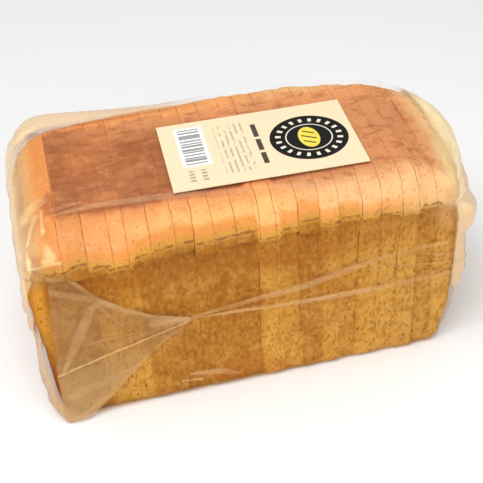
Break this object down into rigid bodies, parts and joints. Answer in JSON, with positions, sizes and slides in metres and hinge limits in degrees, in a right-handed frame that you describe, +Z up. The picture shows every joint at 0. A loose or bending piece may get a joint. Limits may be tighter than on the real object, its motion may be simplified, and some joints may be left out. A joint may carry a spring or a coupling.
{
  "type": "bagged sliced loaf",
  "caption": "Sliced box-shaped tin loaf sealed in a clear film bag with folded ends, with a rectangular paper label stuck on its top.",
  "frame": {"origin": "middle of the base of the whole's bounding box, on the surface it rests on", "axes": "+X along the loaf towards the end that the picture shows on the right, -Y out of the long side that faces the camera, +Z up"},
  "size_m": [0.2688, 0.1368, 0.1343],
  "materials": {
    "film": "clear crinkled film over a golden brown crust",
    "crust": "baked crust with bran flecks, matt",
    "label_paper": "coated paper, slight sheen"
  },
  "bodies": {
    "root": {"bread_bag": "film", "label": "label_paper"}
  },
  "joints": []
}
